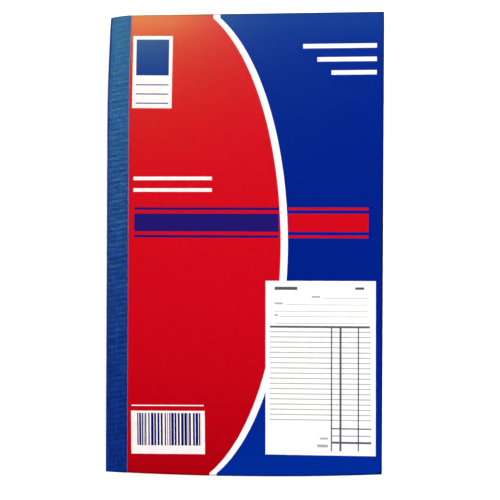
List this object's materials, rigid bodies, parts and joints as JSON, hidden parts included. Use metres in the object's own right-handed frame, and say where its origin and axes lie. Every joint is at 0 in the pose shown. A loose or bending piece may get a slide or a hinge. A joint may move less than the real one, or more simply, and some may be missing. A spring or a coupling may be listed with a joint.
{
  "type": "duplicate invoice book",
  "caption": "Taped and wire-stitched duplicate book of perforated forms with a loose carbon sheet, a printed card cover and a stiff back board.",
  "frame": {"origin": "on the table plane, under the middle of the closed book lying on its back board", "axes": "+X from the spine to the fore-edge, +Y towards the head, +Z out of the front cover"},
  "size_m": [0.127, 0.21, 0.0144],
  "materials": {
    "cloth_tape": "blue cloth-embossed binding tape, slight sheen",
    "cover_card": "red and blue printed card, semi-gloss",
    "grey_board": "uncoated grey board, matt",
    "white_paper": "uncoated white bank paper, printed form",
    "yellow_paper": "uncoated pale yellow bank paper, printed form",
    "carbon_paper": "blue-black waxed carbon paper",
    "stitch_wire": "tinned steel stitching wire"
  },
  "bodies": {
    "bound_spine": {"binding_tape": "cloth_tape", "back_board": "grey_board", "lower_leaf_block": "white_paper", "upper_stub_block": "white_paper", "front_cover_margin": "cover_card", "staple_head": "stitch_wire", "staple_tail": "stitch_wire"},
    "front_cover": {"front_cover": "cover_card"},
    "original_1_stub": {"original_1_stub": "white_paper"},
    "original_1_sheet": {"original_1_sheet": "white_paper"},
    "duplicate_1": {"duplicate_1": "yellow_paper"},
    "carbon_sheet": {"carbon_sheet": "carbon_paper"},
    "original_2_stub": {"original_2_stub": "white_paper"},
    "original_2_sheet": {"original_2_sheet": "white_paper"},
    "duplicate_2": {"duplicate_2": "yellow_paper"},
    "original_3_stub": {"original_3_stub": "white_paper"},
    "original_3_sheet": {"original_3_sheet": "white_paper"},
    "duplicate_3": {"duplicate_3": "yellow_paper"},
    "original_4_stub": {"original_4_stub": "white_paper"},
    "original_4_sheet": {"original_4_sheet": "white_paper"},
    "duplicate_4": {"duplicate_4": "yellow_paper"},
    "original_5_stub": {"original_5_stub": "white_paper"},
    "original_5_sheet": {"original_5_sheet": "white_paper"},
    "duplicate_5": {"duplicate_5": "yellow_paper"},
    "original_6_stub": {"original_6_stub": "white_paper"},
    "original_6_sheet": {"original_6_sheet": "white_paper"},
    "duplicate_6": {"duplicate_6": "yellow_paper"}
  },
  "joints": [
    {"name": "front_cover_hinge", "type": "hinge", "parent": "bound_spine", "child": "front_cover", "pos_m": [-0.051, 0, 0.01447], "axis": [0, -1, 0], "range_deg": [0, 180]},
    {"name": "original_1_stub_turn", "type": "hinge", "parent": "bound_spine", "child": "original_1_stub", "pos_m": [-0.051, 0, 0.01447], "axis": [0, -1, 0], "range_deg": [0, 177.5]},
    {"name": "original_1_tear_off", "type": "slide", "parent": "original_1_stub", "child": "original_1_sheet", "axis": [1, 0, 0], "range_m": [0, 0.115]},
    {"name": "duplicate_1_turn", "type": "hinge", "parent": "bound_spine", "child": "duplicate_1", "pos_m": [-0.051, 0, 0.01447], "axis": [0, -1, 0], "range_deg": [0, 175]},
    {"name": "carbon_sheet_slide", "type": "slide", "parent": "duplicate_1", "child": "carbon_sheet", "axis": [1, 0, 0], "range_m": [0, 0.118]},
    {"name": "original_2_stub_turn", "type": "hinge", "parent": "bound_spine", "child": "original_2_stub", "pos_m": [-0.051, 0, 0.01447], "axis": [0, -1, 0], "range_deg": [0, 172.5]},
    {"name": "original_2_tear_off", "type": "slide", "parent": "original_2_stub", "child": "original_2_sheet", "axis": [1, 0, 0], "range_m": [0, 0.115]},
    {"name": "duplicate_2_turn", "type": "hinge", "parent": "bound_spine", "child": "duplicate_2", "pos_m": [-0.051, 0, 0.01447], "axis": [0, -1, 0], "range_deg": [0, 170]},
    {"name": "original_3_stub_turn", "type": "hinge", "parent": "bound_spine", "child": "original_3_stub", "pos_m": [-0.051, 0, 0.01447], "axis": [0, -1, 0], "range_deg": [0, 167.5]},
    {"name": "original_3_tear_off", "type": "slide", "parent": "original_3_stub", "child": "original_3_sheet", "axis": [1, 0, 0], "range_m": [0, 0.115]},
    {"name": "duplicate_3_turn", "type": "hinge", "parent": "bound_spine", "child": "duplicate_3", "pos_m": [-0.051, 0, 0.01447], "axis": [0, -1, 0], "range_deg": [0, 165]},
    {"name": "original_4_stub_turn", "type": "hinge", "parent": "bound_spine", "child": "original_4_stub", "pos_m": [-0.051, 0, 0.01447], "axis": [0, -1, 0], "range_deg": [0, 162.5]},
    {"name": "original_4_tear_off", "type": "slide", "parent": "original_4_stub", "child": "original_4_sheet", "axis": [1, 0, 0], "range_m": [0, 0.115]},
    {"name": "duplicate_4_turn", "type": "hinge", "parent": "bound_spine", "child": "duplicate_4", "pos_m": [-0.051, 0, 0.01447], "axis": [0, -1, 0], "range_deg": [0, 160]},
    {"name": "original_5_stub_turn", "type": "hinge", "parent": "bound_spine", "child": "original_5_stub", "pos_m": [-0.051, 0, 0.01447], "axis": [0, -1, 0], "range_deg": [0, 157.5]},
    {"name": "original_5_tear_off", "type": "slide", "parent": "original_5_stub", "child": "original_5_sheet", "axis": [1, 0, 0], "range_m": [0, 0.115]},
    {"name": "duplicate_5_turn", "type": "hinge", "parent": "bound_spine", "child": "duplicate_5", "pos_m": [-0.051, 0, 0.01447], "axis": [0, -1, 0], "range_deg": [0, 155]},
    {"name": "original_6_stub_turn", "type": "hinge", "parent": "bound_spine", "child": "original_6_stub", "pos_m": [-0.051, 0, 0.01447], "axis": [0, -1, 0], "range_deg": [0, 152.5]},
    {"name": "original_6_tear_off", "type": "slide", "parent": "original_6_stub", "child": "original_6_sheet", "axis": [1, 0, 0], "range_m": [0, 0.115]},
    {"name": "duplicate_6_turn", "type": "hinge", "parent": "bound_spine", "child": "duplicate_6", "pos_m": [-0.051, 0, 0.01447], "axis": [0, -1, 0], "range_deg": [0, 150]}
  ],
  "couplings": [
    {"joint": "original_1_stub_turn", "follows": "front_cover_hinge", "ratio": 0.98611},
    {"joint": "duplicate_1_turn", "follows": "front_cover_hinge", "ratio": 0.97222},
    {"joint": "original_2_stub_turn", "follows": "front_cover_hinge", "ratio": 0.95833},
    {"joint": "duplicate_2_turn", "follows": "front_cover_hinge", "ratio": 0.94444},
    {"joint": "original_3_stub_turn", "follows": "front_cover_hinge", "ratio": 0.93056},
    {"joint": "duplicate_3_turn", "follows": "front_cover_hinge", "ratio": 0.91667},
    {"joint": "original_4_stub_turn", "follows": "front_cover_hinge", "ratio": 0.90278},
    {"joint": "duplicate_4_turn", "follows": "front_cover_hinge", "ratio": 0.88889},
    {"joint": "original_5_stub_turn", "follows": "front_cover_hinge", "ratio": 0.875},
    {"joint": "duplicate_5_turn", "follows": "front_cover_hinge", "ratio": 0.86111},
    {"joint": "original_6_stub_turn", "follows": "front_cover_hinge", "ratio": 0.84722},
    {"joint": "duplicate_6_turn", "follows": "front_cover_hinge", "ratio": 0.83333}
  ]
}
